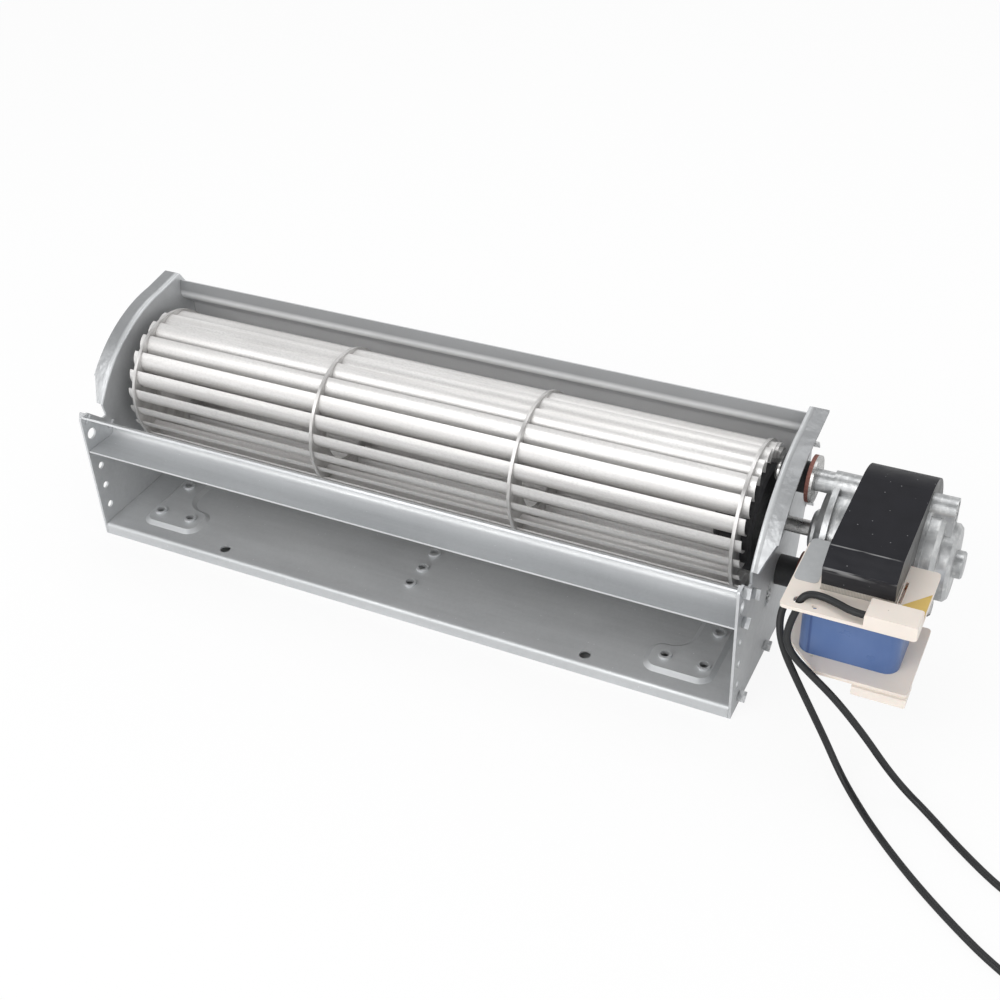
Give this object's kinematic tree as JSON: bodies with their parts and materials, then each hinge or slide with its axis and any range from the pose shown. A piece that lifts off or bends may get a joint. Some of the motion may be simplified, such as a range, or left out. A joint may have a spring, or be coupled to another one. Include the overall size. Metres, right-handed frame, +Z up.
{
  "type": "cross flow fan",
  "caption": "Cross flow blower: a drum impeller in a folded sheet steel scroll housing, driven by a shaded pole motor on one end plate.",
  "frame": {"origin": "midway between the two front fixing holes, on the underside of the floor", "axes": "+X along the impeller axis towards the motor, +Y from the outlet to the back, +Z up"},
  "size_m": [0.4331, 0.1675, 0.0916],
  "materials": {
    "galvanised_steel": "zinc plated sheet, satin",
    "bright_aluminium": "rolled, bright",
    "bright_steel": "bright",
    "black_rubber": "matte",
    "sintered_bronze": "dull",
    "red_fibre": "matte",
    "black_lamination": "black lacquer over stacked sheet",
    "lamination_edge": "bare stacked sheet",
    "copper": "bare",
    "die_cast_zinc": "as cast",
    "cream_plastic": "moulded, semi matte",
    "blue_tape": "wound film tape, semi gloss",
    "grey_foil": "bare foil, satin",
    "yellow_tape": "film tape, semi gloss",
    "lead_sheath": "soft plastic sheath",
    "tinned_wire": "stranded and tinned"
  },
  "bodies": {
    "housing": {"scroll_wall": "galvanised_steel", "tongue_plate": "galvanised_steel", "left_end_plate": "galvanised_steel", "right_end_plate": "galvanised_steel", "bearing_grommet": "black_rubber", "bearing_bush": "sintered_bronze", "rubber_feet": "black_rubber", "fibre_washers": "red_fibre", "steel_washers": "bright_steel", "mount_screws": "bright_steel", "earth_washer": "bright_steel", "earth_screw": "bright_steel", "stator_stack": "black_lamination", "coil_core": "lamination_edge", "shading_rings": "copper", "front_bracket": "die_cast_zinc", "rear_bracket": "die_cast_zinc", "front_bush": "sintered_bronze", "rear_bush": "sintered_bronze", "through_bolts": "bright_steel", "bobbin": "cream_plastic", "coil_winding": "copper", "coil_tape": "blue_tape", "terminal_covers": "cream_plastic", "rating_label": "grey_foil", "yellow_tape": "yellow_tape", "lead_a": "lead_sheath", "lead_a_tip": "tinned_wire", "lead_b": "lead_sheath", "lead_b_tip": "tinned_wire"},
    "impeller": {"blades": "bright_aluminium", "end_disc_left": "bright_aluminium", "mid_disc_left": "bright_aluminium", "mid_disc_right": "bright_aluminium", "end_disc_right": "bright_aluminium", "left_hub": "bright_aluminium", "stub_shaft": "bright_steel", "rubber_hub": "black_rubber", "hub_sleeve": "bright_steel", "set_screw": "bright_steel", "motor_shaft": "bright_steel", "motor_rotor": "bright_steel", "shaft_clips": "bright_steel"}
  },
  "joints": [
    {"name": "rotor_spin", "type": "hinge", "parent": "housing", "child": "impeller", "pos_m": [0, 0.0473, 0.0508], "axis": [1, 0, 0], "continuous": true}
  ]
}
